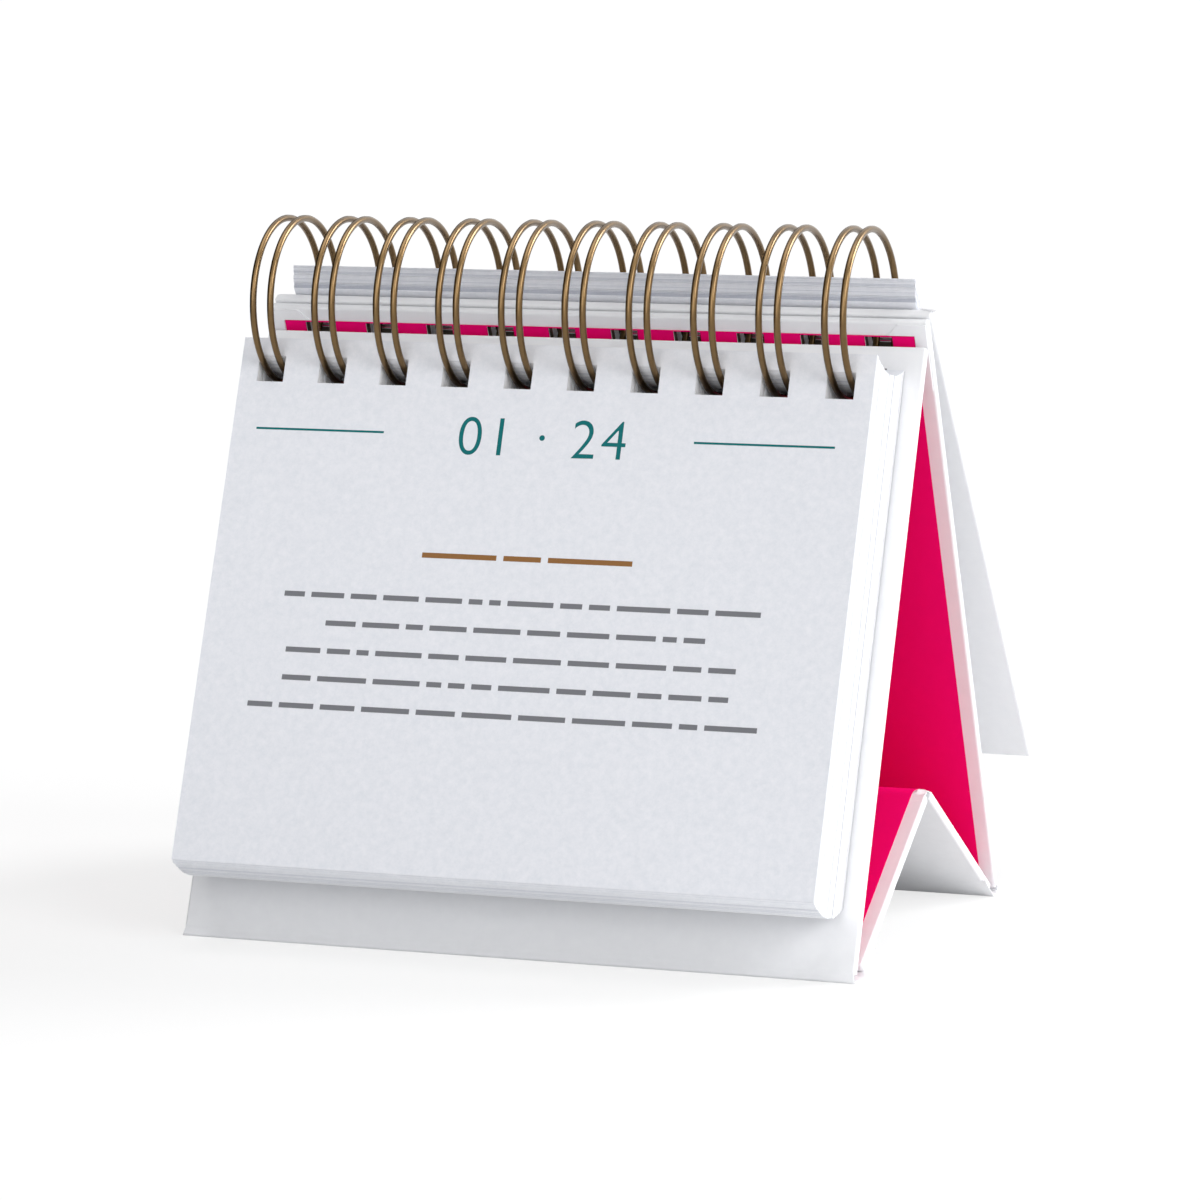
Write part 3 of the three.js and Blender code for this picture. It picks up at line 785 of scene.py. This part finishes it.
# Where the rules, the heading's bars and each line of text start and end across the leaf, in mm, and how
# far down it they are
RULES = ((5.0, 31.4), (93.6, 121.0))
RULES_DOWN = 17.8
HEADING = ((42.5, 57.5), (58.9, 66.4), (67.8, 84.5))
HEADING_DOWN = 41.2
TEXT_LINES = ((15.6, 110.6), (24.8, 100.5), (17.4, 107.1), (17.4, 106.3), (11.1, 112.5))
FIRST_LINE = 49.7
LINE_STEP = 5.36


def ink(name, hex_colour):
    """Offset ink soaked into uncoated paper: matt, a little uneven with the paper's felt side."""
    made, tree = new_material(name)
    place = add(tree, "ShaderNodeTexCoord")
    soak = add(tree, "ShaderNodeTexNoise", {
        "Vector": place.outputs["Object"], "Scale": 2500.0, "Detail": 2.0})
    wear = add(tree, "ShaderNodeMapRange", {
        "Value": soak.outputs["Fac"], "To Min": 0.0, "To Max": 0.025})
    tone = add(tree, "ShaderNodeMix", {
        0: wear.outputs["Result"], 6: linear(hex_colour), 7: linear(PAGE_HEX)}, data_type="RGBA")
    skin = add(tree, "ShaderNodeBsdfPrincipled", {"Base Color": tone.outputs[2], "Roughness": 0.85})
    skin.inputs["Specular IOR Level"].default_value = 0.1
    add(tree, "ShaderNodeOutputMaterial", {"Surface": skin.outputs["BSDF"]})
    return made


teal_ink = ink("teal_offset_ink", TEAL_HEX)
brown_ink = ink("brown_offset_ink", BROWN_HEX)
grey_ink = ink("grey_offset_ink", GREY_INK_HEX)


def bar(left, right, down, height):
    """A printed bar, by its distances in millimetres from the leaf's left and top edges."""
    bpy.ops.mesh.primitive_plane_add(size=1, rotation=(math.radians(90), 0, 0), location=(
        (left + right) / 2000 - half_page, 0, -down / 1000))
    piece = bpy.context.active_object
    piece.scale = ((right - left) / 1000, height / 1000, 1)
    bpy.ops.object.transform_apply(location=True, rotation=True, scale=True)
    return piece


def printed(name, parts, look, body, tilt, depth, facing=1):
    """Joins printed shapes, lays them on a leaf at a depth from the ring's centre, and lets them ride."""
    piece = join(parts, name)
    if facing < 0:
        piece.data.transform(Matrix.Rotation(math.pi, 4, "Z"))
    piece.data.transform(Matrix.Translation((0, depth - facing * INK_LIFT, hole_top(depth) + PAGE_MARGIN)))
    set_up(piece, RING, tilt, look)
    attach(piece, body)


def day_page(tag, date, seed, body, tilt, depth, facing=1):
    """One page's print: rules, date, heading bar and five lines of bars."""
    hand = random.Random(seed)
    rules = [bar(left, right, RULES_DOWN, RULE) for left, right in RULES]
    printed(tag + "_rules", rules, teal_ink, body, tilt, depth, facing)
    bpy.ops.object.select_all(action="DESELECT")
    bpy.ops.object.text_add(rotation=(math.radians(90), 0, 0), location=(0, 0, -DATE_DOWN))
    number = bpy.context.active_object
    number.data.body = date
    number.data.size = DATE_SIZE
    number.data.offset = -DATE_THINNING
    number.data.align_x = "CENTER"
    number.data.space_character = DATE_SPACING
    only(number)
    bpy.ops.object.convert(target="MESH")
    bpy.ops.object.transform_apply(location=True, rotation=True, scale=True)
    printed(tag + "_date", [bpy.context.active_object], teal_ink, body, tilt, depth, facing)
    heading = [bar(left, right, HEADING_DOWN, BAR) for left, right in HEADING]
    printed(tag + "_heading", heading, brown_ink, body, tilt, depth, facing)
    words = []
    for line, (left, right) in enumerate(TEXT_LINES):
        at = left
        while at < right - LEAST_ROOM:
            end = min(at + hand.uniform(*WORD), right)
            if right - end < SHORTEST_WORD:
                end = right
            words.append(bar(at, end, FIRST_LINE + line * LINE_STEP, BAR))
            at = end + WORD_SPACE
    printed(tag + "_lines", words, grey_ink, body, tilt, depth, facing)


day_page("today", "01 \u00b7 24", 3, "today_leaf", FRONT_TILT, front_of_page)
day_page("next", "01 \u00b7 25", 5, "page_pad", FRONT_TILT,
         span(flat_corners("page_bundle_1", RING, FRONT_TILT))[0].y - FIRST_LEAF_FORWARD)
day_page("last", "01 \u00b7 23", 4, "turned_pages", COVER_TILT,
         span(flat_corners("turned_bundle_3", RING, COVER_TILT))[1].y, facing=-1)

# Floor, lights and camera
# A wide pale floor under four broad soft lights: high at the right, behind at the right, front and overhead.
# A dark card at the left is seen only in the wire, and gives its strands their dark edge.
FLOOR_HEX = "#f2f2f2"
FLOOR_SIZE = 60
FLOOR_GLOW = 1.05
GLOW_SHARE = 0.68
WORLD_FILL = (0.05, 0.05, 0.055, 1)
WHITE = (1, 1, 1, 1)
CARD_HEX = "#0c0c0c"
CARD_PLACE = (-0.5, 0.5, 0.35)
CARD_SIZE = (0.7, 2.0, 1)
LIT_POINT = Vector((0, 0, 0.06))


def backdrop_rays(tree):
    """1 for the rays that see the backdrop straight, in a reflection or through glass, and 0 for light."""
    seen = add(tree, "ShaderNodeLightPath")
    straight = add(tree, "ShaderNodeMath", {
        0: seen.outputs["Is Camera Ray"], 1: seen.outputs["Is Glossy Ray"]}, operation="MAXIMUM")
    clear = add(tree, "ShaderNodeMath", {
        0: straight.outputs[0], 1: seen.outputs["Is Transmission Ray"]}, operation="MAXIMUM")
    return clear.outputs[0]


# Pale paper sweep: matt where light falls on it, and partly lit from itself where it is looked at
floor_look, tree = new_material("pale_studio_floor")
diffuse = add(tree, "ShaderNodeBsdfDiffuse", {"Color": linear(FLOOR_HEX)})
glow = add(tree, "ShaderNodeEmission", {"Color": WHITE, "Strength": FLOOR_GLOW})
share = add(tree, "ShaderNodeMath", {0: backdrop_rays(tree), 1: GLOW_SHARE}, operation="MULTIPLY")
lit = add(tree, "ShaderNodeMixShader", {0: share.outputs[0], 1: diffuse.outputs[0], 2: glow.outputs[0]})
add(tree, "ShaderNodeOutputMaterial", {"Surface": lit.outputs[0]})
bpy.ops.object.select_all(action="DESELECT")
bpy.ops.mesh.primitive_plane_add(size=FLOOR_SIZE, location=(0, 0, 0))
floor = bpy.context.active_object
floor.name = "studio_floor"
floor.data.materials.append(floor_look)

world = bpy.data.worlds.new("soft_studio")
world.use_nodes = True
tree = world.node_tree
tree.nodes.clear()
level = add(tree, "ShaderNodeMix", {0: backdrop_rays(tree), 6: WORLD_FILL, 7: WHITE}, data_type="RGBA")
sky = add(tree, "ShaderNodeBackground", {"Color": level.outputs[2], "Strength": 1.0})
add(tree, "ShaderNodeOutputWorld", {"Surface": sky.outputs[0]})
bpy.context.scene.world = world


def soft_light(name, place, spread, strength):
    """A distant soft light that shines on the calendar from a place."""
    bpy.ops.object.select_all(action="DESELECT")
    bpy.ops.object.light_add(type="SUN", location=place)
    lamp = bpy.context.active_object
    lamp.name = name
    lamp.data.angle = math.radians(spread)
    lamp.data.energy = strength
    aim = LIT_POINT - Vector(place)
    lamp.rotation_euler = aim.to_track_quat("-Z", "Y").to_euler()


soft_light("right_soft_light", (1.3, -0.7, 0.9), 29.7, 1.25)
soft_light("right_back_soft_light", (1.2, 0.9, 0.8), 30.2, 2.96)
soft_light("front_soft_light", (0.2, -1.6, 0.6), 38.9, 0.92)
soft_light("overhead_soft_light", (0, 0, 1.6), 42.6, 1.02)

# Black card: matt, so that the wire shows one plain dark band of it
card_look, tree = new_material("black_studio_card")
matt = add(tree, "ShaderNodeBsdfDiffuse", {"Color": linear(CARD_HEX)})
add(tree, "ShaderNodeOutputMaterial", {"Surface": matt.outputs[0]})
bpy.ops.object.select_all(action="DESELECT")
bpy.ops.mesh.primitive_plane_add(size=1, location=CARD_PLACE, rotation=(0, math.radians(90), 0))
card = bpy.context.active_object
card.name = "dark_studio_card"
card.scale = CARD_SIZE
bpy.ops.object.transform_apply(location=True, rotation=True, scale=True)
card.data.materials.append(card_look)
card.visible_camera = False
card.visible_diffuse = False
card.visible_transmission = False
card.visible_shadow = False

# The camera as fitted to the photo: its turns and its lens, the point that it is set out from, how far back
# it stands from there, and how far it is moved to its right and up
YAW = math.radians(21.173)
PITCH_DOWN = math.radians(8.090)
ROLL = math.radians(-0.473)
LENS = 158.22
SENSOR = 36
LOOKED_AT = Vector((0.000154, -0.02100838, 0.06))
DISTANCE = 0.997857
MOVED_RIGHT = 0.006245
MOVED_UP = 0.003321
back = Vector((math.sin(YAW) * math.cos(PITCH_DOWN), -math.cos(YAW) * math.cos(PITCH_DOWN),
               math.sin(PITCH_DOWN)))
right = Vector((math.cos(YAW), math.sin(YAW), 0))
above = back.cross(right)
turned_right = math.cos(ROLL) * right + math.sin(ROLL) * above
turned_up = -math.sin(ROLL) * right + math.cos(ROLL) * above
spot = LOOKED_AT + back * DISTANCE + turned_right * MOVED_RIGHT + turned_up * MOVED_UP
photographer = bpy.data.cameras.new("photo_camera")
photographer.lens = LENS
photographer.sensor_width = SENSOR
photographer.sensor_fit = "HORIZONTAL"
photographer.clip_end = 200
camera = bpy.data.objects.new("photo_camera", photographer)
bpy.context.scene.collection.objects.link(camera)
facing = Matrix((turned_right, turned_up, back)).transposed()
camera.matrix_world = Matrix.Translation(spot) @ facing.to_4x4()
bpy.context.scene.camera = camera
bpy.context.scene.view_settings.view_transform = "Standard"
